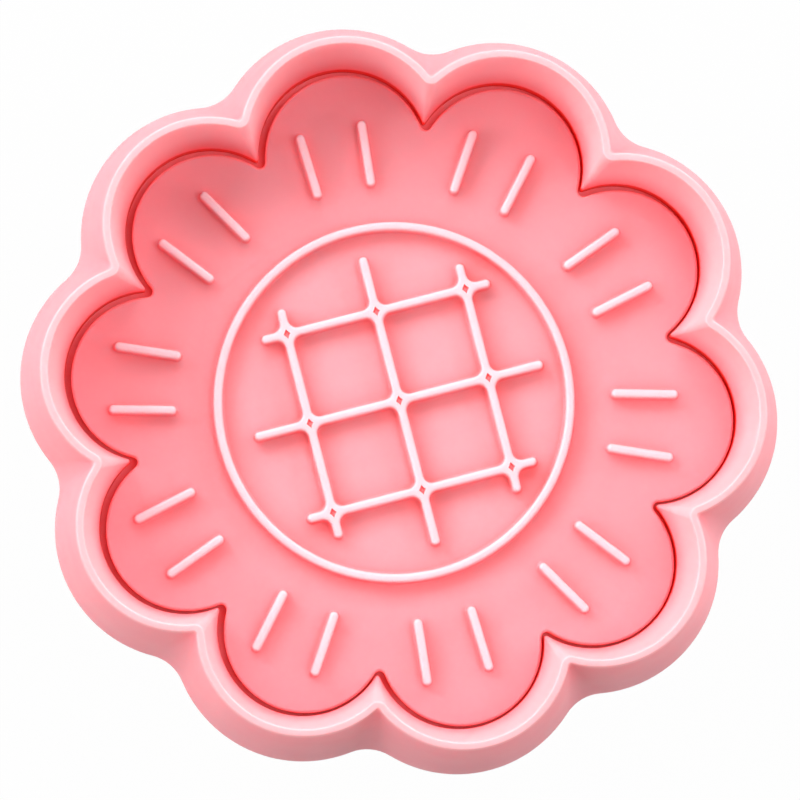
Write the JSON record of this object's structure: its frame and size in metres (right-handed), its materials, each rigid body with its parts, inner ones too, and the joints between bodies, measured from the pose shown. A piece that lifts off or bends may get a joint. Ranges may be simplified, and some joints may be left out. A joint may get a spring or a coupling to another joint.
{
  "type": "plunger cookie cutter",
  "caption": "Flower-shaped cookie cutter with a drafted cutting wall and a sprung stamp plate that carries a raised ring, lattice and dashes, pressed out by a knob on its back.",
  "frame": {"origin": "on the plunger's axis, in the plane of the knob's outer face, on which the part stands", "axes": "+Z along the plunger's axis towards the cutting rim, +X through a notch between two petals, +Y through the middle of a petal"},
  "size_m": [0.0736, 0.0762, 0.045],
  "materials": {
    "cutter_plastic": "satin moulded plastic",
    "stamp_plastic": "satin moulded plastic",
    "knob_plastic": "satin moulded plastic",
    "spring_steel": "bright drawn wire",
    "screw_steel": "bright zinc"
  },
  "bodies": {
    "cutter": {"cutter_shell": "cutter_plastic", "guide_collar": "cutter_plastic", "collar_screws": "screw_steel", "return_spring": "spring_steel"},
    "plunger": {"stamp_plate": "stamp_plastic", "plunger_stem": "stamp_plastic", "push_knob": "knob_plastic", "plunger_screw": "screw_steel", "screw_washer": "screw_steel", "knob_cap": "knob_plastic"}
  },
  "joints": [
    {"name": "plunger_slide", "type": "slide", "parent": "cutter", "child": "plunger", "axis": [0, 0, 1], "range_m": [0, 0.008], "stiffness_N_per_m": 800, "springref_m": -0.004, "deforming": ["return_spring"]}
  ]
}
